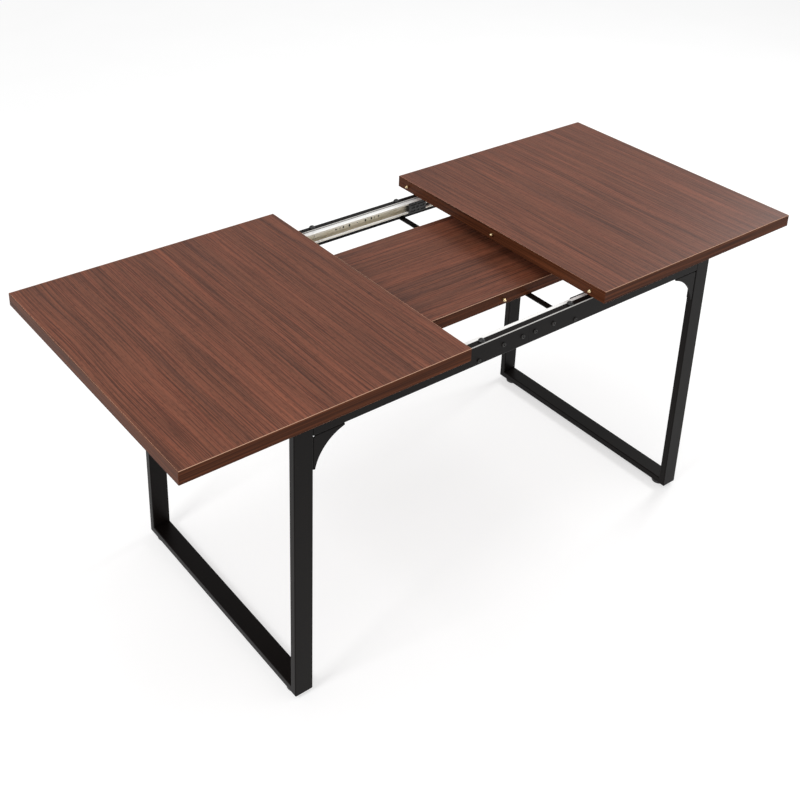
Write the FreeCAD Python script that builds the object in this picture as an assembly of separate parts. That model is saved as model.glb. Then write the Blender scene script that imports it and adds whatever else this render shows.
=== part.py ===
import FreeCAD, Part
import math
import os

# Extendable dining table: two tops that pull apart on ball-bearing slides over a welded
# steel frame, with a loose extension leaf stored on two crossbars between the rails.
# X runs along the table, Y across it, Z up. Lengths are millimetres.

Vector = FreeCAD.Vector
X_AXIS = Vector(1, 0, 0)
Y_AXIS = Vector(0, 1, 0)
Z_AXIS = Vector(0, 0, 1)

# ---------------------------------------------------------------- driving dimensions
TABLE_HEIGHT = 760.0
TOP_LENGTH = 670.0            # one top, along X
TOP_WIDTH = 740.0             # across the table
PANEL_THICKNESS = 30.0
LEAF_WIDTH = 370.0            # along X in use, along Y while it is stored
BAND_THICKNESS = 1.0          # edge banding
ARRIS_CHAMFER = 0.6

LEFT_PULL = 210.0             # how far each top is drawn out from the closed joint
RIGHT_PULL = 182.0
LEAF_STORE_X = 60.0           # middle of the stored leaf, from the frame's middle
LEAF_STORE_Y = 10.0

FRAME_HALF_LENGTH = 612.0     # outer faces of the leg frames
FRAME_HALF_WIDTH = 324.0      # outer faces of posts and rails
LEG_FACE = 45.0               # leg tube, along X
TUBE_DEPTH = 18.0             # leg tube in the plane of its loop, and rail tube across
TUBE_WALL = 1.5
TUBE_CORNER = 2.5
FLOOR_GAP = 10.0              # underside of the runners above the floor
FRAME_TOP = 720.0
RAIL_HEIGHT = 50.0

SLEEVE_LENGTH = 180.0         # joins the two halves of a rail
SLEEVE_SCREW_X = (18.5, 74.5)
CROSSBAR_X = 144.0
CROSSBAR_WIDTH = 16.0
CROSSBAR_THICKNESS = 4.0
CROSSBAR_TOP = 675.0
CROSSBAR_SCREW_Z = 681.0
GLIDE_X = (132.0, 470.0)
GLIDE_RADIUS = 7.5
GLIDE_HEIGHT = 7.4

GUSSET_ALONG = 75.0           # along the rail
GUSSET_DOWN = 81.0            # down the post
GUSSET_TIP = 5.0
GUSSET_ARC = 100.0
GUSSET_SHEET = 3.0
GUSSET_FLANGE = 15.0
GUSSET_INSET = 0.8
GUSSET_BEND = 2.8

SLIDE_MIDDLE_Z = 701.5
SLIDE_HALF_HEIGHT = 15.5
SLIDE_DEPTH = 12.7
SLIDE_SHEET = 1.5
RACE_RADIUS = 3.2            # rolled edge of the channel
CHANNEL_HALF_LENGTH = 450.0
MIDDLE_START = 65.0           # inner end of the middle member when the top is closed
MIDDLE_LENGTH = 300.0
MIDDLE_HALF_HEIGHT = 10.2
MIDDLE_SHEET = 1.2
BLOCK_LENGTH = 56.0
INNER_START = 125.0
INNER_LENGTH = 220.0
INNER_HALF_HEIGHT = 5.7
INNER_SHEET = 1.4
OUTER_CAGE = (200.0, 140.0)   # start when closed, length
INNER_CAGE = (185.0, 120.0)
RACE_GAP = 0.4                # between the middle member and the curl of the channel
WEB_GAP = 2.1                 # between the webs of the channel and the middle member
OUTER_BALLS_IN = 3.2          # ball rows, in front of the middle member's web
INNER_BALLS_IN = 3.8
BALL_CLEARANCE = 0.05

BRACKET_START = 132.0
BRACKET_LENGTH = 200.0
BRACKET_SHEET = 2.0
BRACKET_LEG = 32.0

PIN_Y = (-328.0, 0.0, 328.0)
LEAF_PIN_X = (-328.0, 0.0, 328.0)
PIN_RADIUS = 4.0
PIN_OUT = 10.0
PIN_IN = 16.0
BUSH_RADIUS = 5.0
BUSH_LENGTH = 14.0
BUSH_BORE = 4.15

FOOT_Y = 290.0
FOOT_RADIUS = 19.0
FOOT_PAD_HEIGHT = 7.0
STUD_RADIUS = 4.0
STUD_TOP = 25.0

# ---------------------------------------------------------------- derived dimensions
TOP_UNDERSIDE = TABLE_HEIGHT - PANEL_THICKNESS
PANEL_MIDDLE = TABLE_HEIGHT - PANEL_THICKNESS / 2
RAIL_BOTTOM = FRAME_TOP - RAIL_HEIGHT
POST_INNER_X = FRAME_HALF_LENGTH - LEG_FACE
TUBE_INNER_Y = FRAME_HALF_WIDTH - TUBE_DEPTH
FOOT_X = FRAME_HALF_LENGTH - LEG_FACE / 2
LEAF_TOP = CROSSBAR_TOP + 0.2 + PANEL_THICKNESS
# The origin lies midway between the two pulled tops, which is off the frame's middle.
ORIGIN_SHIFT = Vector((LEFT_PULL - RIGHT_PULL) / 2, 0, 0)

SIDES = (("left", -1), ("right", 1))
ROWS = (("front", -1), ("rear", 1))
PULL = {"left": LEFT_PULL, "right": RIGHT_PULL}

nodes = {}


def box(x_range, y_range, z_range):
    """A block between two values on each axis, given in either order."""
    low = Vector(min(x_range), min(y_range), min(z_range))
    high = Vector(max(x_range), max(y_range), max(z_range))
    size = high - low
    return Part.makeBox(size.x, size.y, size.z, low)


def rod(radius, length, start, direction):
    """A round bar from start along direction."""
    return Part.makeCylinder(radius, length, start, direction)


def joined(shapes):
    """Several touching shapes fused into one solid."""
    whole = shapes[0]
    for shape in shapes[1:]:
        whole = whole.fuse(shape)
    return whole.removeSplitter()


def without(shape, tools):
    """The shape with every tool cut away."""
    for tool in tools:
        shape = shape.cut(tool)
    return shape


def edges_along(shape, axis):
    """Straight edges of a shape that are parallel to an axis."""
    found = []
    for edge in shape.Edges:
        if isinstance(edge.Curve, Part.Line) and abs(edge.Curve.Direction.dot(axis)) > 0.999:
            found.append(edge)
    return found


def rolled(block, axis, radius):
    """A block with the edges that run along one axis rounded."""
    return block.makeFillet(radius, edges_along(block, axis))


def tube(x_range, y_range, z_range, axis, wall=TUBE_WALL, corner=TUBE_CORNER):
    """A rectangular steel tube along one axis, open at both ends."""
    outer = rolled(box(x_range, y_range, z_range), axis, corner)
    across = Vector(1, 1, 1) - axis
    inset = across * wall
    low = Vector(min(x_range), min(y_range), min(z_range)) + inset - axis
    high = Vector(max(x_range), max(y_range), max(z_range)) - inset + axis
    hollow = rolled(box((low.x, high.x), (low.y, high.y), (low.z, high.z)), axis, corner - wall)
    return outer.cut(hollow)


def prism(points, start, direction):
    """A flat outline swept along a direction."""
    wire = Part.makePolygon([start + point for point in points] + [start + points[0]])
    return Part.Face(wire).extrude(direction)


def screw(head_radius, head_height, shank_radius, shank_length, socket, seat, out):
    """A round-headed screw: its head stands on seat and points along out."""
    head = rod(head_radius, head_height, seat, out)
    rim = [edge for edge in head.Edges if (edge.CenterOfMass - seat).dot(out) > head_height - 0.01]
    head = head.makeFillet(0.7 * head_height, rim)
    recess = rod(socket, 0.6 * head_height, seat + out * head_height, -out)
    shank = rod(shank_radius, shank_length, seat, -out)
    return joined([head.cut(recess), shank])


def mirror_y(shape):
    return shape.mirror(Vector(0, 0, 0), Y_AXIS)


def mirror_x(shape):
    return shape.mirror(Vector(0, 0, 0), X_AXIS)


def place(shape, side, row=1):
    """A shape drawn for the right rear corner, put at one of the four corners."""
    if side < 0:
        shape = mirror_x(shape)
    if row < 0:
        shape = mirror_y(shape)
    return shape


def keep(name, *solids):
    """Stores the solids of one node, moved to the table's own origin."""
    moved = [solid.translated(ORIGIN_SHIFT) for solid in solids]
    nodes[name] = moved[0] if len(moved) == 1 else Part.makeCompound(moved)


# ---------------------------------------------------------------- leg frames
def leg_members():
    """Post, runner and top bar of the right frame, mitred where they meet."""
    outer, inner = FRAME_HALF_WIDTH, TUBE_INNER_Y
    low, high, depth = FLOOR_GAP, FRAME_TOP, TUBE_DEPTH
    x_range = (POST_INNER_X, FRAME_HALF_LENGTH)
    start = Vector(POST_INNER_X - 1, 0, 0)
    sweep = Vector(LEG_FACE + 2, 0, 0)

    post_end = [Vector(0, outer, low), Vector(0, inner, low + depth),
                Vector(0, inner, high - depth), Vector(0, outer, high)]
    post = tube(x_range, (inner, outer), (low, high), Z_AXIS).common(prism(post_end, start, sweep))

    runner_end = [Vector(0, -outer, low), Vector(0, outer, low),
                  Vector(0, inner, low + depth), Vector(0, -inner, low + depth)]
    runner = tube(x_range, (-outer, outer), (low, low + depth), Y_AXIS)
    runner = runner.common(prism(runner_end, start, sweep))

    bar_end = [Vector(0, -outer, high), Vector(0, outer, high),
               Vector(0, inner, high - depth), Vector(0, -inner, high - depth)]
    bar = tube(x_range, (-outer, outer), (high - depth, high), Y_AXIS)
    bar = bar.common(prism(bar_end, start, sweep))
    return post, runner, bar


def make_leg_frames():
    post, runner, bar = leg_members()
    for y in (-FOOT_Y, FOOT_Y):
        runner = runner.cut(rod(STUD_RADIUS + 0.3, 4, Vector(FOOT_X, y, FLOOR_GAP - 1), Z_AXIS))
    for side_name, side in SIDES:
        for row_name, row in ROWS:
            keep(side_name + "_" + row_name + "_post", place(post, side, row))
        keep(side_name + "_runner", place(runner, side))
        keep(side_name + "_top_bar", place(bar, side))


# ---------------------------------------------------------------- rails
def rail_half():
    """Right half of the rear rail, drilled for its screws."""
    rail = tube((0.2, POST_INNER_X), (TUBE_INNER_Y, FRAME_HALF_WIDTH), (RAIL_BOTTOM, FRAME_TOP), X_AXIS)
    middle = RAIL_BOTTOM + RAIL_HEIGHT / 2
    drills = []
    for x in SLEEVE_SCREW_X:
        drills.append(rod(3.3, TUBE_WALL + 2, Vector(x, FRAME_HALF_WIDTH + 1, middle), -Y_AXIS))
    crossbar_screw = Vector(CROSSBAR_X, FRAME_HALF_WIDTH + 1, CROSSBAR_SCREW_Z)
    drills.append(rod(2.7, TUBE_DEPTH + 2, crossbar_screw, -Y_AXIS))
    for x in CHANNEL_SCREW_X:
        drills.append(rod(2.1, TUBE_WALL + 2, Vector(x, TUBE_INNER_Y - 1, SLIDE_MIDDLE_Z), Y_AXIS))
    for x in GLIDE_X:
        drills.append(rod(2.6, TUBE_WALL + 2, Vector(x, glide_y(), FRAME_TOP + 1), -Z_AXIS))
    return without(rail, drills)


def glide_y():
    return FRAME_HALF_WIDTH - TUBE_DEPTH / 2


def make_rails():
    half = rail_half()
    for side_name, side in SIDES:
        for row_name, row in ROWS:
            keep(side_name + "_" + row_name + "_rail", place(half, side, row))


def make_rail_joints():
    """Inner sleeves across the middle of each rail, and the screws into them."""
    fit = TUBE_WALL + 0.2
    sleeve = tube((-SLEEVE_LENGTH / 2, SLEEVE_LENGTH / 2), (TUBE_INNER_Y + fit, FRAME_HALF_WIDTH - fit),
                  (RAIL_BOTTOM + fit, FRAME_TOP - fit), X_AXIS, wall=2.5, corner=3.0)
    middle = RAIL_BOTTOM + RAIL_HEIGHT / 2
    screws = []
    for side in (-1, 1):
        for x in SLEEVE_SCREW_X:
            seat = Vector(side * x, FRAME_HALF_WIDTH, middle)
            sleeve = sleeve.cut(rod(3.0, 6, seat, -Y_AXIS))
            screws.append(screw(5.25, 3.0, 2.95, 5.5, 2.0, seat, Y_AXIS))
        seat = Vector(side * CROSSBAR_X, FRAME_HALF_WIDTH, CROSSBAR_SCREW_Z)
        screws.append(screw(4.75, 2.7, 2.45, TUBE_DEPTH + 4.5, 1.8, seat, Y_AXIS))
    # The sleeve ends short of the crossbar screws, which pass through the rail.
    keep("rail_joint_sleeves", sleeve, mirror_y(sleeve))
    keep("rail_screws", *(screws + [mirror_y(one) for one in screws]))


# ---------------------------------------------------------------- corner gussets
def gusset():
    """Folded sheet web in the corner below the rear right rail, with a concave edge."""
    x0 = POST_INNER_X
    z0 = RAIL_BOTTOM
    y0 = FRAME_HALF_WIDTH - GUSSET_INSET
    along = Vector(x0 - GUSSET_ALONG, y0, z0 - GUSSET_TIP)
    down = Vector(x0 - GUSSET_TIP, y0, z0 - GUSSET_DOWN)
    chord = down - along
    bulge = GUSSET_ARC - math.sqrt(GUSSET_ARC ** 2 - (chord.Length / 2) ** 2)
    toward_corner = Vector(chord.z, 0, -chord.x).normalize()
    if toward_corner.dot(Vector(x0, y0, z0) - along) < 0:
        toward_corner = -toward_corner
    middle = (along + down) * 0.5 + toward_corner * bulge
    edges = [Part.makeLine(Vector(x0, y0, z0), Vector(x0 - GUSSET_ALONG, y0, z0)),
             Part.makeLine(Vector(x0 - GUSSET_ALONG, y0, z0), along),
             Part.Arc(along, middle, down).toShape(),
             Part.makeLine(down, Vector(x0, y0, z0 - GUSSET_DOWN)),
             Part.makeLine(Vector(x0, y0, z0 - GUSSET_DOWN), Vector(x0, y0, z0))]
    web = Part.Face(Part.Wire(edges)).extrude(Vector(0, -GUSSET_SHEET, 0))
    rail_flange = box((x0 - GUSSET_ALONG, x0), (y0 - GUSSET_FLANGE, y0), (z0 - GUSSET_SHEET, z0))
    post_flange = box((x0 - GUSSET_SHEET, x0), (y0 - GUSSET_FLANGE, y0), (z0 - GUSSET_DOWN, z0))
    folded = joined([web, rail_flange, post_flange])
    bends = []
    for edge in folded.Edges:
        at = edge.CenterOfMass
        if abs(at.y - y0) < 0.01 and edge.Length > GUSSET_ALONG - 1:
            if abs(at.x - x0) < 0.01 or abs(at.z - z0) < 0.01:
                bends.append(edge)
    folded = folded.makeFillet(GUSSET_BEND, bends)
    relief = rod(2.6, GUSSET_SHEET + 1, Vector(x0 - 2.0, y0 + 0.5, z0 - 2.0), -Y_AXIS)
    slot = box((x0 - 4.6, x0 + 1), (y0 - GUSSET_FLANGE - 1, y0 + 1), (z0 - 4.6, z0 + 1))
    corner_cut = slot.common(rod(5.5, GUSSET_FLANGE + 2, Vector(x0, y0 + 1, z0), -Y_AXIS))
    return without(folded, [relief, corner_cut])


def make_gussets():
    plate = gusset()
    for side_name, side in SIDES:
        for row_name, row in ROWS:
            keep(side_name + "_" + row_name + "_gusset", place(plate, side, row))


# ---------------------------------------------------------------- crossbars and glides
def make_crossbars():
    """Flat bars that carry the stored leaf, with their ends turned up against the rails."""
    low = CROSSBAR_TOP - CROSSBAR_THICKNESS
    x_range = (CROSSBAR_X - CROSSBAR_WIDTH / 2, CROSSBAR_X + CROSSBAR_WIDTH / 2)
    bar = box(x_range, (-TUBE_INNER_Y, TUBE_INNER_Y), (low, CROSSBAR_TOP))
    bar = rolled(bar, Y_AXIS, 0.8)
    below_slide = SLIDE_MIDDLE_Z - SLIDE_HALF_HEIGHT - 0.5
    tab = box(x_range, (TUBE_INNER_Y - 3, TUBE_INNER_Y), (CROSSBAR_TOP - 1, below_slide))
    bar = joined([bar, tab, mirror_y(tab)])
    bore = rod(2.5, 2 * TUBE_INNER_Y + 2, Vector(CROSSBAR_X, -TUBE_INNER_Y - 1, CROSSBAR_SCREW_Z), Y_AXIS)
    bar = bar.cut(bore)
    for side_name, side in SIDES:
        keep(side_name + "_crossbar", place(bar, side))


def make_glides():
    """Domed nylon buttons pressed into the top of the rails, which steady the tops."""
    shoulder = 3.0
    rise = GLIDE_HEIGHT - shoulder
    ball = (GLIDE_RADIUS ** 2 + rise ** 2) / (2 * rise)
    dome = Part.makeSphere(ball, Vector(0, 0, GLIDE_HEIGHT - ball))
    dome = dome.common(rod(GLIDE_RADIUS, rise, Vector(0, 0, shoulder), Z_AXIS))
    glide = joined([dome, rod(GLIDE_RADIUS, shoulder, Vector(0, 0, 0), Z_AXIS),
                    rod(2.5, 4, Vector(0, 0, 0), -Z_AXIS)])
    solids = []
    for side in (-1, 1):
        for row in (-1, 1):
            for x in GLIDE_X:
                solids.append(glide.translated(Vector(side * x, row * glide_y(), FRAME_TOP)))
    keep("rail_glides", *solids)


# ---------------------------------------------------------------- telescopic slides
CHANNEL_SCREW_X = (130.0, 290.0, 430.0)
# Distance from the middle of the channel, radius, and how much taller than round each hole is.
CHANNEL_HOLES = ((0.0, 1.8, 0.0), (25.0, 2.5, 4.0), (44.0, 2.2, 3.0), (54.0, 1.8, 0.0), (67.0, 2.6, 0.0))


def race(length, level):
    """Rolled edge of the channel: a half-round lip that curls back towards its web."""
    at = Vector(length[0], TUBE_INNER_Y - SLIDE_DEPTH + RACE_RADIUS, level)
    run = length[1] - length[0]
    ring = rod(RACE_RADIUS, run, at, X_AXIS).cut(rod(RACE_RADIUS - SLIDE_SHEET, run, at, X_AXIS))
    front = box(length, (at.y - RACE_RADIUS - 1, at.y), (level - RACE_RADIUS - 1, level + RACE_RADIUS + 1))
    return ring.common(front)


def channel():
    """Fixed outer member on the inner face of the rear rail, open at its front and ends."""
    length = (-CHANNEL_HALF_LENGTH, CHANNEL_HALF_LENGTH)
    back = TUBE_INNER_Y
    front = back - SLIDE_DEPTH + RACE_RADIUS
    low = SLIDE_MIDDLE_Z - SLIDE_HALF_HEIGHT
    high = SLIDE_MIDDLE_Z + SLIDE_HALF_HEIGHT
    web = box(length, (back - SLIDE_SHEET, back), (low, high))
    floor = box(length, (front, back), (low, low + SLIDE_SHEET))
    ceiling = box(length, (front, back), (high - SLIDE_SHEET, high))
    solid = joined([web, floor, ceiling, race(length, low + RACE_RADIUS), race(length, high - RACE_RADIUS)])
    cuts = []
    for side in (-1, 1):
        for x, radius, tall in CHANNEL_HOLES:
            at = Vector(side * x, back + 1, SLIDE_MIDDLE_Z - tall / 2)
            cuts.append(rod(radius, SLIDE_SHEET + 2, at, -Y_AXIS))
            if tall:
                cuts.append(rod(radius, SLIDE_SHEET + 2, at + Z_AXIS * tall, -Y_AXIS))
                cuts.append(box((side * x - radius, side * x + radius), (back + 1, back - SLIDE_SHEET - 1),
                                (at.z, at.z + tall)))
        for x in CHANNEL_SCREW_X:
            cuts.append(rod(2.2, SLIDE_SHEET + 2, Vector(side * x, back + 1, SLIDE_MIDDLE_Z), -Y_AXIS))
    return without(solid, cuts)


def make_channels():
    rear = channel()
    keep("rear_slide_channel", rear)
    keep("front_slide_channel", mirror_y(rear))
    screws = []
    for side in (-1, 1):
        for x in CHANNEL_SCREW_X:
            seat = Vector(side * x, TUBE_INNER_Y - SLIDE_SHEET, SLIDE_MIDDLE_Z)
            screws.append(screw(3.4, 1.5, 2.0, 7.0, 1.2, seat, -Y_AXIS))
    keep("channel_screws", *(screws + [mirror_y(one) for one in screws]))


def c_section(length, y_web, y_open, half_height, sheet):
    """A C-shaped member along X: its web at y_web, its flanges reaching to y_open."""
    height = (SLIDE_MIDDLE_Z - half_height, SLIDE_MIDDLE_Z + half_height)
    solid = rolled(box(length, (y_web, y_open), height), X_AXIS, 0.7)
    inward = 1 if y_open > y_web else -1
    hollow = box((length[0] - 1, length[1] + 1), (y_web + inward * sheet, y_open + inward * 2),
                 (SLIDE_MIDDLE_Z - half_height + sheet, SLIDE_MIDDLE_Z + half_height - sheet))
    return solid.cut(hollow)


# Start along the block, lower edge above its middle, length and height of each moulded pocket.
BLOCK_POCKETS = ((4, 7.0, 20, 4.0), (28, 7.0, 24, 4.0),
                 (8, -1.5, 10, 6.0), (22, -2.0, 9, 6.5), (36, -1.5, 14, 6.0),
                 (4, -11.0, 16, 5.0), (24, -11.0, 10, 5.0), (38, -11.0, 14, 5.0))


def end_block(start):
    """Ribbed plastic end of a middle member: a core inside the channel, a face plate in front
    of it, and two prongs that clip inside the member."""
    back = TUBE_INNER_Y - SLIDE_SHEET - WEB_GAP
    mouth = SLIDE_HALF_HEIGHT - 2 * RACE_RADIUS - 0.5
    behind_race = TUBE_INNER_Y - SLIDE_DEPTH + RACE_RADIUS + RACE_GAP
    plate_back = TUBE_INNER_Y - SLIDE_DEPTH - 0.4
    plate_front = plate_back - 2.7
    end = start + BLOCK_LENGTH
    half = SLIDE_HALF_HEIGHT - SLIDE_SHEET - 0.3
    middle = SLIDE_MIDDLE_Z
    core = box((start, end), (behind_race, back), (middle - half, middle + half))
    neck = box((start, end), (plate_back - 1, back), (middle - mouth, middle + mouth))
    plate = rolled(box((start, end), (plate_front, plate_back), (middle - 14.5, middle + 14.5)), Y_AXIS, 1.5)
    prongs = []
    for low in (6.2, -8.8):
        prongs.append(box((end - 1, end + 20), (behind_race + 0.2, back - 1.3),
                          (middle + low, middle + low + 2.6)))
    pockets = []
    for x, z, long, tall in BLOCK_POCKETS:
        pockets.append(box((start + x, start + x + long), (plate_front - 1, plate_front + 1.7),
                           (middle + z, middle + z + tall)))
    return without(joined([core, neck, plate] + prongs), pockets)


def cage(start, length, inside, outside, y_middle, count):
    """Two thin retainer strips, above and below, each holding a row of steel balls between
    races at those heights from the slide's middle."""
    radius = (outside - inside) / 2 - BALL_CLEARANCE
    solids = []
    for level in (-1, 1):
        z = SLIDE_MIDDLE_Z + level * (inside + outside) / 2
        strip = box((start, start + length), (y_middle - 1.2, y_middle + 2.4), (z - 0.4, z + 0.4))
        pitch = length / count
        for index in range(count):
            at = Vector(start + pitch * (index + 0.5), y_middle, z)
            strip = strip.cut(rod(radius + 0.1, 2, at - Z_AXIS, Z_AXIS))
            solids.append(Part.makeSphere(radius, at))
        solids.append(strip)
    return solids


def make_slides():
    web_y = TUBE_INNER_Y - SLIDE_SHEET - WEB_GAP
    lip_y = TUBE_INNER_Y - SLIDE_DEPTH + RACE_RADIUS + RACE_GAP
    for side_name, side in SIDES:
        pull = PULL[side_name]
        middle_start = MIDDLE_START + pull / 2
        steel = (middle_start + BLOCK_LENGTH, middle_start + MIDDLE_LENGTH)
        middle = c_section(steel, web_y, lip_y, MIDDLE_HALF_HEIGHT, MIDDLE_SHEET)
        inner_start = INNER_START + pull
        face_y = TUBE_INNER_Y - SLIDE_DEPTH - 0.4
        inner = c_section((inner_start, inner_start + INNER_LENGTH), face_y, web_y - MIDDLE_SHEET - 0.6,
                          INNER_HALF_HEIGHT, INNER_SHEET)
        bores = [rod(1.7, 3, Vector(x, face_y - 1, SLIDE_MIDDLE_Z), Y_AXIS) for x in bracket_screw_x(pull)]
        inner = without(inner, bores)
        block = end_block(middle_start)
        outer_balls = cage(OUTER_CAGE[0] + pull / 4, OUTER_CAGE[1], MIDDLE_HALF_HEIGHT,
                           SLIDE_HALF_HEIGHT - SLIDE_SHEET, web_y - OUTER_BALLS_IN, 5)
        inner_balls = cage(INNER_CAGE[0] + pull * 3 / 4, INNER_CAGE[1], INNER_HALF_HEIGHT,
                           MIDDLE_HALF_HEIGHT - MIDDLE_SHEET, web_y - INNER_BALLS_IN, 5)
        for row_name, row in ROWS:
            name = side_name + "_" + row_name
            keep(name + "_middle_member", place(middle, side, row))
            keep(name + "_inner_member", place(inner, side, row))
        keep(side_name + "_end_blocks", *[place(block, side, row) for _, row in ROWS])
        for cage_name, parts in (("_outer_ball_cages", outer_balls), ("_inner_ball_cages", inner_balls)):
            keep(side_name + cage_name, *[place(one, side, row) for _, row in ROWS for one in parts])


# ---------------------------------------------------------------- top brackets
def bracket_screw_x(pull):
    return [BRACKET_START + pull + offset for offset in (20.0, 100.0, 180.0)]


def wood_screw_x(pull):
    return [BRACKET_START + pull + offset for offset in (40.0, 100.0, 160.0)]


def make_brackets():
    """Angles that hang each inner slide member from the underside of its top."""
    face_y = TUBE_INNER_Y - SLIDE_DEPTH - 0.4
    for side_name, side in SIDES:
        pull = PULL[side_name]
        x_range = (BRACKET_START + pull, BRACKET_START + pull + BRACKET_LENGTH)
        upright = box(x_range, (face_y - BRACKET_SHEET, face_y), (SLIDE_MIDDLE_Z - 6, TOP_UNDERSIDE))
        flange = box(x_range, (face_y - BRACKET_LEG, face_y), (TOP_UNDERSIDE - BRACKET_SHEET, TOP_UNDERSIDE))
        angle = joined([upright, flange])
        screws = []
        for x in bracket_screw_x(pull):
            angle = angle.cut(rod(2.1, 6, Vector(x, face_y + 1, SLIDE_MIDDLE_Z), -Y_AXIS))
            seat = Vector(x, face_y - BRACKET_SHEET, SLIDE_MIDDLE_Z)
            screws.append(screw(3.4, 1.8, 1.6, 5.0, 1.2, seat, -Y_AXIS))
        for x in wood_screw_x(pull):
            seat = Vector(x, face_y - BRACKET_LEG / 2 - 2, TOP_UNDERSIDE - BRACKET_SHEET)
            angle = angle.cut(rod(2.3, 6, seat - Z_AXIS, Z_AXIS))
            screws.append(screw(4.0, 2.0, 2.0, 16.0, 1.4, seat, -Z_AXIS))
        for row_name, row in ROWS:
            keep(side_name + "_" + row_name + "_bracket", place(angle, side, row))
        keep(side_name + "_bracket_screws", *[place(one, side, row) for _, row in ROWS for one in screws])


# ---------------------------------------------------------------- tops and leaf
def banded_panel(x_range, y_range, z_low):
    """A laminated board and the four strips of edging around it."""
    z_range = (z_low, z_low + PANEL_THICKNESS)
    t = BAND_THICKNESS
    board = box((x_range[0] + t, x_range[1] - t), (y_range[0] + t, y_range[1] - t), z_range)
    whole = box(x_range, y_range, z_range)
    # Only the upper and lower arrises and the four upright corners are eased.
    whole = whole.makeChamfer(ARRIS_CHAMFER, whole.Edges)
    slabs = [box((x_range[0], x_range[0] + t), y_range, z_range),
             box((x_range[1] - t, x_range[1]), y_range, z_range),
             box((x_range[0] + t, x_range[1] - t), (y_range[0], y_range[0] + t), z_range),
             box((x_range[0] + t, x_range[1] - t), (y_range[1] - t, y_range[1]), z_range)]
    return board, [whole.common(slab) for slab in slabs]


def pin(root, out):
    """Brass pin with a tapered nose, let into a panel's edge at root."""
    body = rod(PIN_RADIUS, PIN_IN + PIN_OUT - 4, root - out * PIN_IN, out)
    nose = Part.makeCone(PIN_RADIUS, 1.8, 4, root + out * (PIN_OUT - 4), out)
    return joined([body, nose])


def bush(root, out):
    """Brass bush let into a panel's edge, flush with it."""
    sleeve = rod(BUSH_RADIUS, BUSH_LENGTH, root - out * BUSH_LENGTH, out)
    return sleeve.cut(rod(BUSH_BORE, BUSH_LENGTH, root + out, -out))


def drilled(shapes, holes):
    return [without(shape, holes) for shape in shapes]


def make_top(side_name, side):
    pull = PULL[side_name]
    near, far = side * pull, side * (pull + TOP_LENGTH)
    x_range = (min(near, far), max(near, far))
    board, bands = banded_panel(x_range, (-TOP_WIDTH / 2, TOP_WIDTH / 2), TOP_UNDERSIDE)
    roots = [Vector(near, y, PANEL_MIDDLE) for y in PIN_Y]
    out = -X_AXIS * side
    if side > 0:
        fittings = [pin(root, out) for root in roots]
        holes = [rod(PIN_RADIUS, PIN_IN + 1, root + out, -out) for root in roots]
        keep("right_top_pins", *fittings)
    else:
        fittings = [bush(root, out) for root in roots]
        holes = [rod(BUSH_RADIUS, BUSH_LENGTH + 1, root + out, -out) for root in roots]
        keep("left_top_bushes", *fittings)
    pilots = []
    for x in wood_screw_x(pull):
        y = TUBE_INNER_Y - SLIDE_DEPTH - 0.4 - BRACKET_LEG / 2 - 2
        for row in (-1, 1):
            pilots.append(rod(2.0, 16.0, Vector(side * x, row * y, TOP_UNDERSIDE - 1), Z_AXIS))
    keep(side_name + "_top_board", without(board, holes + pilots))
    keep(side_name + "_top_edging", *drilled(bands, holes))


def make_leaf():
    """Loose leaf, stored a quarter turn round with its long sides along X."""
    x_range = (LEAF_STORE_X - TOP_WIDTH / 2, LEAF_STORE_X + TOP_WIDTH / 2)
    y_range = (LEAF_STORE_Y - LEAF_WIDTH / 2, LEAF_STORE_Y + LEAF_WIDTH / 2)
    z_low = LEAF_TOP - PANEL_THICKNESS
    board, bands = banded_panel(x_range, y_range, z_low)
    middle = z_low + PANEL_THICKNESS / 2
    pin_roots = [Vector(LEAF_STORE_X + x, y_range[0], middle) for x in LEAF_PIN_X]
    bush_roots = [Vector(LEAF_STORE_X + x, y_range[1], middle) for x in LEAF_PIN_X]
    holes = [rod(PIN_RADIUS, PIN_IN + 1, root - Y_AXIS, Y_AXIS) for root in pin_roots]
    holes += [rod(BUSH_RADIUS, BUSH_LENGTH + 1, root + Y_AXIS, -Y_AXIS) for root in bush_roots]
    keep("leaf_board", without(board, holes))
    keep("leaf_edging", *drilled(bands, holes))
    keep("leaf_pins", *[pin(root, -Y_AXIS) for root in pin_roots])
    keep("leaf_bushes", *[bush(root, Y_AXIS) for root in bush_roots])


# ---------------------------------------------------------------- levelling feet
def foot():
    """Plastic pad moulded on a threaded stud."""
    pad = rod(FOOT_RADIUS, FOOT_PAD_HEIGHT, Vector(FOOT_X, FOOT_Y, 0), Z_AXIS)
    rims = [edge for edge in pad.Edges if isinstance(edge.Curve, Part.Circle)]
    pad = pad.makeFillet(1.6, rims)
    stud = rod(STUD_RADIUS, STUD_TOP - 3, Vector(FOOT_X, FOOT_Y, 3), Z_AXIS)
    return [pad.cut(stud), stud]


def make_feet():
    parts = foot()
    nut = prism([Vector(7.5 * math.cos(math.radians(a)), 7.5 * math.sin(math.radians(a)), 0)
                 for a in range(0, 360, 60)], Vector(FOOT_X, FOOT_Y, FLOOR_GAP + TUBE_WALL), Z_AXIS * 6.5)
    nut = nut.cut(rod(STUD_RADIUS + 0.05, 8.5, Vector(FOOT_X, FOOT_Y, FLOOR_GAP + TUBE_WALL - 1), Z_AXIS))
    nuts = []
    for side_name, side in SIDES:
        for row_name, row in ROWS:
            keep(side_name + "_" + row_name + "_foot", *[place(one, side, row) for one in parts])
            nuts.append(place(nut, side, row))
    keep("foot_nuts", *nuts)


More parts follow.
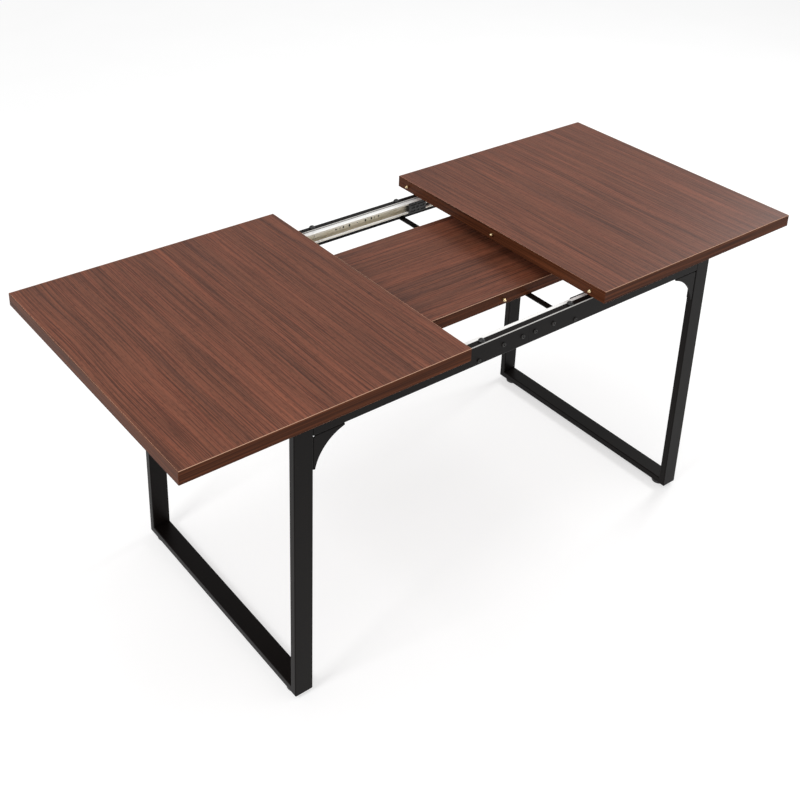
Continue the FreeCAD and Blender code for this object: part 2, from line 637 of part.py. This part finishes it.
make_leg_frames()
make_rails()
make_rail_joints()
make_gussets()
make_crossbars()
make_glides()
make_channels()
make_slides()
make_brackets()
for top_name, top_side in SIDES:
    make_top(top_name, top_side)
make_leaf()
make_feet()

os.makedirs("parts", exist_ok=True)
for node_name, node_shape in nodes.items():
    node_shape.exportStep("parts/" + node_name + ".step")
print(len(nodes), "nodes")
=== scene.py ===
import math

import bmesh
import bpy
from mathutils import Matrix, Vector

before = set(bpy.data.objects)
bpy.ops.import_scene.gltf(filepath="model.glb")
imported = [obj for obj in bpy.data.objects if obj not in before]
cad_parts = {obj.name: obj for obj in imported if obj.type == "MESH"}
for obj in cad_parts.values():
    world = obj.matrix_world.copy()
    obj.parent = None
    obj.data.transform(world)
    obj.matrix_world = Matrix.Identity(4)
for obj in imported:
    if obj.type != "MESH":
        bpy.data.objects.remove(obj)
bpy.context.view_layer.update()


# ------------------------------------------------------------------ leg frames
# Each leg frame is a closed loop of 45 x 18 mm steel tube: two posts, a runner near the floor
# and a bar under the top, mitred and welded at the corners. The welds are ground flush and the
# whole loop is powder coated black, which leaves a satin skin with a fine orange-peel texture.

def linear(code):
    """An sRGB hex colour as the linear RGBA that the shaders take."""
    channels = []
    for start in (1, 3, 5):
        value = int(code[start:start + 2], 16) / 255
        channels.append(value / 12.92 if value <= 0.04045 else ((value + 0.055) / 1.055) ** 2.4)
    return (*channels, 1.0)


def add(tree, kind, inputs=None, stops=None, **settings):
    """Adds one shader node with its settings, its input values or links, and its ramp stops."""
    node = tree.nodes.new("ShaderNode" + kind)
    for name, value in settings.items():
        setattr(node, name, value)
    for name, value in (inputs or {}).items():
        if isinstance(value, bpy.types.NodeSocket):
            tree.links.new(value, node.inputs[name])
        else:
            node.inputs[name].default_value = value
    if stops:
        elements = node.color_ramp.elements
        while len(elements) < len(stops):
            elements.new(0.5)
        for element, (position, code) in zip(elements, stops):
            element.position = position
            element.color = linear(code)
    return node


def new_material(name):
    """An empty node material, its tree and its Object coordinates."""
    material = bpy.data.materials.new(name)
    material.use_nodes = True
    tree = material.node_tree
    tree.nodes.clear()
    place = add(tree, "TexCoord").outputs["Object"]
    return material, tree, place


def close_material(tree, shader):
    """Links the finished shader to the material's surface."""
    add(tree, "OutputMaterial", {"Surface": shader.outputs[0]})


def dress(names, material):
    """Gives CAD nodes their finish."""
    for name in names:
        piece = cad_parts[name]
        piece.data.materials.clear()
        piece.data.materials.append(material)


def powder_coating(name, corner_highlight_strength):
    """Black satin powder coat, with a highlight of the given strength painted on upward corners."""
    material, tree, place = new_material(name)
    # The orange peel is about 0.2 mm across and is drawn 1.2 mm across, coarse enough to show.
    # The film's thickness, and with it tone and gloss, drifts over about 110 mm.
    grit = add(tree, "TexNoise", {"Vector": place, "Scale": 850.0, "Detail": 2.0})
    cloud = add(tree, "TexNoise", {"Vector": place, "Scale": 9.0, "Detail": 3.0})
    tone = add(tree, "ValToRGB", {"Fac": cloud.outputs["Fac"]},
               stops=[(0.3, "#0a0706"), (0.7, "#0f0b09")])
    # The rounded corners that look upward get a pale line, a painted highlight.
    axes = add(tree, "SeparateXYZ", {"Vector": add(tree, "TexCoord").outputs["Normal"]})
    across = add(tree, "Math", {0: axes.outputs["Y"]}, operation="ABSOLUTE")
    corner = add(tree, "Math", {0: across.outputs["Value"], 1: axes.outputs["Z"]},
                 operation="MULTIPLY")
    corner_highlight_mask = add(tree, "MapRange", {"Value": corner.outputs["Value"], "From Min": 0.2,
                                  "From Max": 0.42, "To Max": corner_highlight_strength})
    coat_with_highlight = add(tree, "Mix", {0: corner_highlight_mask.outputs["Result"], 6: tone.outputs["Color"],
                             7: linear("#dcdad6")}, data_type="RGBA")
    gloss = add(tree, "MapRange", {"Value": cloud.outputs["Fac"], "To Min": 0.34, "To Max": 0.44})
    peel = add(tree, "Bump", {"Height": grit.outputs["Fac"], "Strength": 0.12, "Distance": 0.0004})
    coat = add(tree, "BsdfPrincipled", {"Base Color": coat_with_highlight.outputs[2],
                                        "Roughness": gloss.outputs["Result"],
                                        "Normal": peel.outputs["Normal"], "IOR": 1.5,
                                        "Specular IOR Level": 0.1})
    close_material(tree, coat)
    return material


powder_coat = powder_coating("black satin powder coat on steel tube", 0.0)
posts = ["left_front_post", "left_rear_post", "right_front_post", "right_rear_post"]
dress(posts + ["left_runner", "right_runner", "left_top_bar", "right_top_bar"], powder_coat)


# ------------------------------------------------------------------ rails and their joints
# A rail of 18 x 50 mm tube runs along each side between the leg frames. It comes in two halves
# that slide over a zinc-plated inner sleeve and are held by button-head screws.

# The rails carry a painted highlight along their upward rounded corners.
dress(["left_front_rail", "left_rear_rail", "right_front_rail", "right_rear_rail"],
      powder_coating("black satin powder coat, rubbed at the rail corners", 0.8))

# Zinc plating on rolled steel: a pale, slightly warm metal with faint lines along the strip.
# The rolling marks are about 0.1 mm wide and are drawn 1.1 mm wide and 170 mm long so that
# they show. The bloom on the plating varies over about 17 mm.
zinc, tree, place = new_material("zinc plated rolled steel")
stretch = add(tree, "Mapping", {"Vector": place, "Scale": (6.0, 900.0, 900.0)})
lines = add(tree, "TexNoise", {"Vector": stretch.outputs["Vector"], "Scale": 1.0, "Detail": 3.0})
bloom = add(tree, "TexNoise", {"Vector": place, "Scale": 60.0, "Detail": 4.0})
tone = add(tree, "ValToRGB", {"Fac": bloom.outputs["Fac"]},
           stops=[(0.3, "#dfdbd0"), (0.7, "#f8f6f0")])
gloss = add(tree, "MapRange", {"Value": lines.outputs["Fac"], "To Min": 0.28, "To Max": 0.46})
brush = add(tree, "Bump", {"Height": lines.outputs["Fac"], "Strength": 0.15, "Distance": 0.0002})
plate = add(tree, "BsdfPrincipled", {"Base Color": tone.outputs["Color"],
                                     "Roughness": gloss.outputs["Result"],
                                     "Metallic": 1.0, "Normal": brush.outputs["Normal"]})
close_material(tree, plate)
dress(["rail_joint_sleeves"], zinc)

# Black-oxide screw steel, turned, with a faint sheen. The oxide's speckle is about 0.1 mm
# across and is drawn 0.7 mm across.
screw_steel, tree, place = new_material("black oxide screw steel")
speck = add(tree, "TexNoise", {"Vector": place, "Scale": 1400.0, "Detail": 2.0})
tone = add(tree, "ValToRGB", {"Fac": speck.outputs["Fac"]},
           stops=[(0.35, "#2c2b2b"), (0.7, "#4a4846")])
dark = add(tree, "BsdfPrincipled", {"Base Color": tone.outputs["Color"], "Metallic": 0.85,
                                    "Roughness": 0.4})
close_material(tree, dark)
dress(["rail_screws", "left_bracket_screws", "right_bracket_screws"], screw_steel)


# ------------------------------------------------------------------ corner gussets
# A gusset cut from 3 mm sheet stiffens each corner below a rail. Its concave edge is laser cut,
# its two straight edges are folded back, and it is welded in and coated with the frame.

dress(["left_front_gusset", "left_rear_gusset", "right_front_gusset", "right_rear_gusset"],
      powder_coat)


# ------------------------------------------------------------------ crossbars and glides
# Two flat steel bars carry the stored leaf. Domed nylon glides pressed into the rails keep the
# tops from sagging on to them.

dress(["left_crossbar", "right_crossbar"], powder_coat)

# Injection-moulded black nylon: matte with a fine spark-eroded texture, about 0.1 mm across
# and drawn 0.9 mm across.
nylon, tree, place = new_material("moulded black nylon")
spark = add(tree, "TexNoise", {"Vector": place, "Scale": 1100.0, "Detail": 3.0})
tone = add(tree, "ValToRGB", {"Fac": spark.outputs["Fac"]},
           stops=[(0.3, "#121212"), (0.7, "#1c1b1b")])
skin = add(tree, "Bump", {"Height": spark.outputs["Fac"], "Strength": 0.2, "Distance": 0.0003})
moulded = add(tree, "BsdfPrincipled", {"Base Color": tone.outputs["Color"], "Roughness": 0.42,
                                       "Normal": skin.outputs["Normal"], "IOR": 1.53})
close_material(tree, moulded)
dress(["rail_glides"], nylon)


# ------------------------------------------------------------------ telescopic slides
# A three-member ball-bearing slide lies along the inner face of each rail. The members are
# roll-formed from zinc-plated strip, and the middle one ends in a ribbed nylon block.

# The channel keeps the straw-coloured passivation over the zinc; its flat lips and flanges are
# painted near-white as a highlight. Its marks and bloom are sized as on the other zinc.
channel_zinc, tree, place = new_material("passivated zinc, painted highlight on the flat lips")
stretch = add(tree, "Mapping", {"Vector": place, "Scale": (6.0, 900.0, 900.0)})
lines = add(tree, "TexNoise", {"Vector": stretch.outputs["Vector"], "Scale": 1.0, "Detail": 3.0})
bloom = add(tree, "TexNoise", {"Vector": place, "Scale": 60.0, "Detail": 4.0})
straw = add(tree, "ValToRGB", {"Fac": bloom.outputs["Fac"]},
            stops=[(0.3, "#cdc3aa"), (0.7, "#ded5c0")])
axes = add(tree, "SeparateXYZ", {"Vector": add(tree, "TexCoord").outputs["Normal"]})
# Faces looking up or down, the lips and flanges, are painted near-white as a highlight.
rise = add(tree, "Math", {0: axes.outputs["Z"]}, operation="ABSOLUTE")
lip_highlight_mask = add(tree, "MapRange", {"Value": rise.outputs["Value"], "From Min": 0.15, "From Max": 0.55})
tone = add(tree, "Mix", {0: lip_highlight_mask.outputs["Result"], 6: straw.outputs["Color"],
                         7: linear("#fdfcfa")}, data_type="RGBA")
gloss = add(tree, "MapRange", {"Value": lines.outputs["Fac"], "To Min": 0.30, "To Max": 0.46})
brush = add(tree, "Bump", {"Height": lines.outputs["Fac"], "Strength": 0.15, "Distance": 0.0002})
plate = add(tree, "BsdfPrincipled", {"Base Color": tone.outputs[2],
                                     "Roughness": gloss.outputs["Result"],
                                     "Metallic": 0.35, "Normal": brush.outputs["Normal"]})
close_material(tree, plate)
dress(["front_slide_channel", "rear_slide_channel", "channel_screws"], channel_zinc)
for side in ("left", "right"):
    for row in ("front", "rear"):
        dress([side + "_" + row + "_middle_member", side + "_" + row + "_inner_member"], zinc)
    dress([side + "_end_blocks"], nylon)

# Hardened steel balls in a pressed retainer, bright under oil that thins and gathers every 2.5 mm.
ball_steel, tree, place = new_material("polished bearing steel")
film = add(tree, "TexNoise", {"Vector": place, "Scale": 400.0, "Detail": 2.0})
gloss = add(tree, "MapRange", {"Value": film.outputs["Fac"], "To Min": 0.08, "To Max": 0.22})
bright = add(tree, "BsdfPrincipled", {"Base Color": linear("#d8d8d6"), "Metallic": 1.0,
                                      "Roughness": gloss.outputs["Result"]})
close_material(tree, bright)
for side in ("left", "right"):
    dress([side + "_outer_ball_cages", side + "_inner_ball_cages"], ball_steel)


# ------------------------------------------------------------------ top brackets
# Pressed steel angles hang each inner slide member under its top. They are coated black and
# held by small pan-head screws.

for side in ("left", "right"):
    dress([side + "_front_bracket", side + "_rear_bracket"], powder_coat)


# ------------------------------------------------------------------ tops
# Each top is a 30 mm chipboard panel faced with printed melamine paper: a dark red-brown
# straight-grained wood under a satin resin film that carries fine pressed pores.

def laminate(name, turn, shift):
    """Melamine with its grain along Y, turned about Z and shifted so that boards differ."""
    material, tree, place = new_material(name)
    turned = add(tree, "Mapping", {"Vector": place, "Rotation": (0, 0, turn), "Location": shift})
    board = turned.outputs["Vector"]
    # The figure wanders sideways by a few millimetres over about 400 mm.
    wander = add(tree, "TexNoise", {"Vector": board, "Scale": 2.6, "Detail": 1.0})
    centred = add(tree, "VectorMath", {0: wander.outputs["Color"], 1: (0.5, 0.5, 0.5)},
                  operation="SUBTRACT")
    drift = add(tree, "VectorMath", {0: centred.outputs["Vector"], 1: (0.014, 0.0, 0.0)},
                operation="MULTIPLY")
    moved = add(tree, "VectorMath", {0: board, 1: drift.outputs["Vector"]}, operation="ADD")
    grain = moved.outputs["Vector"]
    # Growth bands are 24 mm wide, streaks 3.3 mm and printed lines 1.6 mm. The pressed pores are
    # about 0.3 mm wide and are drawn 1.1 mm wide, coarse enough to show.
    wide = add(tree, "Mapping", {"Vector": grain, "Scale": (42.0, 1.5, 42.0)})
    band = add(tree, "TexNoise", {"Vector": wide.outputs["Vector"], "Scale": 1.0, "Detail": 3.0,
                                  "Roughness": 0.5})
    middle = add(tree, "Mapping", {"Vector": grain, "Scale": (300.0, 2.2, 300.0)})
    streak = add(tree, "TexNoise", {"Vector": middle.outputs["Vector"], "Scale": 1.0,
                                    "Detail": 3.0})
    narrow = add(tree, "Mapping", {"Vector": grain, "Scale": (640.0, 5.0, 640.0)})
    line = add(tree, "TexNoise", {"Vector": narrow.outputs["Vector"], "Scale": 1.0, "Detail": 2.0})
    short = add(tree, "Mapping", {"Vector": grain, "Scale": (900.0, 60.0, 900.0)})
    pore = add(tree, "TexNoise", {"Vector": short.outputs["Vector"], "Scale": 1.0, "Detail": 1.0})
    ground = add(tree, "ValToRGB", {"Fac": band.outputs["Fac"]},
                 stops=[(0.30, "#6d4232"), (0.45, "#764733"), (0.58, "#7d4a36"), (0.72, "#88513b")])
    streaked = add(tree, "ValToRGB", {"Fac": streak.outputs["Fac"]},
                   stops=[(0.30, "#c3bab8"), (0.46, "#ebe8e7"), (0.68, "#fff0e8")])
    first = add(tree, "Mix", {0: 0.9, 6: ground.outputs["Color"], 7: streaked.outputs["Color"]},
                data_type="RGBA", blend_type="MULTIPLY")
    lined = add(tree, "ValToRGB", {"Fac": line.outputs["Fac"]},
                stops=[(0.40, "#94857f"), (0.54, "#ffffff")])
    second = add(tree, "Mix", {0: 0.75, 6: first.outputs[2], 7: lined.outputs["Color"]},
                 data_type="RGBA", blend_type="MULTIPLY")
    pored = add(tree, "ValToRGB", {"Fac": pore.outputs["Fac"]},
                stops=[(0.30, "#9a918d"), (0.45, "#ffffff")])
    third = add(tree, "Mix", {0: 0.6, 6: second.outputs[2], 7: pored.outputs["Color"]},
                data_type="RGBA", blend_type="MULTIPLY")
    gloss = add(tree, "MapRange", {"Value": streak.outputs["Fac"], "To Min": 0.48, "To Max": 0.36})
    depth = add(tree, "Math", {0: line.outputs["Fac"], 1: pore.outputs["Fac"]},
                operation="ADD")
    press = add(tree, "Bump", {"Height": depth.outputs["Value"], "Strength": 0.18,
                               "Distance": 0.0003})
    film = add(tree, "BsdfPrincipled", {"Base Color": third.outputs[2],
                                        "Roughness": gloss.outputs["Result"],
                                        "Normal": press.outputs["Normal"], "IOR": 1.5,
                                        "Specular IOR Level": 0.25})
    close_material(tree, film)
    return material


dress(["left_top_board"],
      laminate("red-brown woodgrain melamine, left top", turn=0.0, shift=(0.0, 0.0, 0.0)))
dress(["right_top_board"],
      laminate("red-brown woodgrain melamine, right top", turn=0.0, shift=(3.1, 1.7, 0.0)))

# The edge tape is the same print, darker, with its grain along the strip. Along the sides its
# faces that tilt up at the arris carry a thin pale line, a painted highlight. Its streaks are
# 3 to 4 mm wide and about 400 mm long.
edge_tape, tree, place = new_material("woodgrain edge tape")
axes = add(tree, "SeparateXYZ", {"Vector": add(tree, "TexCoord").outputs["Normal"]})
along_x = add(tree, "Mapping", {"Vector": place, "Scale": (2.5, 240.0, 330.0)})
along_y = add(tree, "Mapping", {"Vector": place, "Scale": (240.0, 2.5, 330.0)})
ends = add(tree, "Math", {0: axes.outputs["X"]}, operation="ABSOLUTE")
is_end = add(tree, "Math", {0: ends.outputs["Value"], 1: 0.5}, operation="GREATER_THAN")
run = add(tree, "Mix", {0: is_end.outputs["Value"], 4: along_x.outputs["Vector"],
                        5: along_y.outputs["Vector"]}, data_type="VECTOR")
strip = add(tree, "TexNoise", {"Vector": run.outputs[1], "Scale": 1.0, "Detail": 4.0,
                               "Roughness": 0.6})
tone = add(tree, "ValToRGB", {"Fac": strip.outputs["Fac"]},
           stops=[(0.32, "#351b12"), (0.5, "#4c2918"), (0.68, "#653823")])
# A pale painted highlight goes on the upward-tilted arris faces of the side strips.
upward = add(tree, "Math", {0: axes.outputs["Z"]}, operation="ABSOLUTE")
arris_faces_up = add(tree, "Math", {0: upward.outputs["Value"], 1: 0.3}, operation="GREATER_THAN")
sides = add(tree, "Math", {0: 1.0, 1: is_end.outputs["Value"]}, operation="SUBTRACT")
pale = add(tree, "Math", {0: arris_faces_up.outputs["Value"], 1: sides.outputs["Value"]},
           operation="MULTIPLY")
final = add(tree, "Mix", {0: pale.outputs["Value"], 6: tone.outputs["Color"],
                          7: linear("#c39a80")}, data_type="RGBA")
press = add(tree, "Bump", {"Height": strip.outputs["Fac"], "Strength": 0.15, "Distance": 0.0003})
tape = add(tree, "BsdfPrincipled", {"Base Color": final.outputs[2], "Roughness": 0.42,
                                    "Normal": press.outputs["Normal"], "IOR": 1.5,
                                    "Specular IOR Level": 0.05})
close_material(tree, tape)
dress(["left_top_edging", "right_top_edging", "leaf_edging"], edge_tape)

# The alignment pins and their bushes are turned from brass, which tarnishes in 2 mm clouds.
brass, tree, place = new_material("turned brass")
tarnish = add(tree, "TexNoise", {"Vector": place, "Scale": 500.0, "Detail": 3.0})
tone = add(tree, "ValToRGB", {"Fac": tarnish.outputs["Fac"]},
           stops=[(0.3, "#cfb07c"), (0.7, "#f3e2bb")])
turned = add(tree, "BsdfPrincipled", {"Base Color": tone.outputs["Color"], "Metallic": 1.0,
                                      "Roughness": 0.24})
close_material(tree, turned)
dress(["left_top_bushes", "right_top_pins", "leaf_pins", "leaf_bushes"], brass)


# ------------------------------------------------------------------ stored leaf
# The loose leaf is made like the tops. It is stored turned a quarter round, so its grain runs
# along the table, with its pins towards the front rail.

dress(["leaf_board"],
      laminate("red-brown woodgrain melamine, leaf", turn=math.pi / 2, shift=(5.3, 2.9, 0.0)))


# ------------------------------------------------------------------ levelling feet
# Four moulded nylon pads on threaded studs screw into zinc-plated nuts inside the runners.
# Each is turned by hand to level its corner of the table.

for side in ("left", "right"):
    dress([side + "_front_foot", side + "_rear_foot"], nylon)
dress(["foot_nuts"], zinc)


# ------------------------------------------------------------------ floor, light and camera
# A plain white studio floor under an even white sky, with a softbox beyond each end of the
# table, so that the legs throw faint shadows along it, and a weaker one overhead for the leaf.

floor_reach = 14.0
floor_mesh = bpy.data.meshes.new("studio floor")
sheet = bmesh.new()
bmesh.ops.create_grid(sheet, x_segments=1, y_segments=1, size=floor_reach)
sheet.to_mesh(floor_mesh)
sheet.free()
floor = bpy.data.objects.new("studio_floor", floor_mesh)
bpy.context.scene.collection.objects.link(floor)

# Matt white background paper, its tone drifting a little over about 0.3 m. Its glow stands
# for the light that a white studio throws back on to the floor from all round.
paper, tree, place = new_material("white studio paper")
fibre = add(tree, "TexNoise", {"Vector": place, "Scale": 3.0, "Detail": 2.0})
tone = add(tree, "ValToRGB", {"Fac": fibre.outputs["Fac"]},
           stops=[(0.3, "#b7b7b7"), (0.7, "#b9b9b9")])
matt = add(tree, "BsdfPrincipled", {"Base Color": tone.outputs["Color"], "Roughness": 0.9,
                                    "Specular IOR Level": 0.0,
                                    "Emission Color": linear("#ffffff"),
                                    "Emission Strength": 0.615})
close_material(tree, matt)
floor_mesh.materials.append(paper)

world = bpy.data.worlds.new("studio sky")
bpy.context.scene.world = world
world.use_nodes = True
sky = world.node_tree.nodes["Background"]
sky.inputs["Color"].default_value = (1.0, 1.0, 1.0, 1.0)
sky.inputs["Strength"].default_value = 0.6


def soft_light(name, position, target, size, power):
    """A square area light aimed at a point, in metres and watts."""
    data = bpy.data.lights.new(name, "AREA")
    data.size = size
    data.energy = power
    lamp = bpy.data.objects.new(name, data)
    bpy.context.scene.collection.objects.link(lamp)
    lamp.location = position
    lamp.rotation_euler = (Vector(target) - Vector(position)).to_track_quat("-Z", "Y").to_euler()


mid_table = (0.0, 0.0, 0.4)
stored_leaf = (0.05, 0.0, 0.7)
soft_light("left softbox", (-3.0, -0.5, 2.6), mid_table, size=0.9, power=50.0)
soft_light("right softbox", (3.0, 0.4, 2.8), mid_table, size=0.9, power=48.0)
soft_light("overhead softbox", (0.05, -0.3, 4.2), stored_leaf, size=2.4, power=25.0)

bpy.context.scene.view_settings.view_transform = "Standard"
bpy.context.scene.view_settings.look = "None"

# The view from 2.1 m up, off the front left corner: a 55 mm lens looking down at the table and
# shifted down to keep the feet in view.
camera_data = bpy.data.cameras.new("camera")
camera_data.sensor_width = 36.0
camera_data.lens = 55.1
camera_data.shift_y = -0.265
camera = bpy.data.objects.new("camera", camera_data)
bpy.context.scene.collection.objects.link(camera)
eye = (-1.6434, -1.9059, 2.1119)
heading = math.radians(39.025)
tilt = math.radians(-25.369)
roll = math.radians(2.04)
forward = Vector((math.sin(heading) * math.cos(tilt), math.cos(heading) * math.cos(tilt),
                  math.sin(tilt)))
level = Vector((math.cos(heading), -math.sin(heading), 0.0))
upright = level.cross(forward)
right = level * math.cos(roll) + upright * math.sin(roll)
top = upright * math.cos(roll) - level * math.sin(roll)
turn = Matrix((right, top, -forward)).transposed()
camera.matrix_world = Matrix.Translation(eye) @ turn.to_4x4()
bpy.context.scene.camera = camera
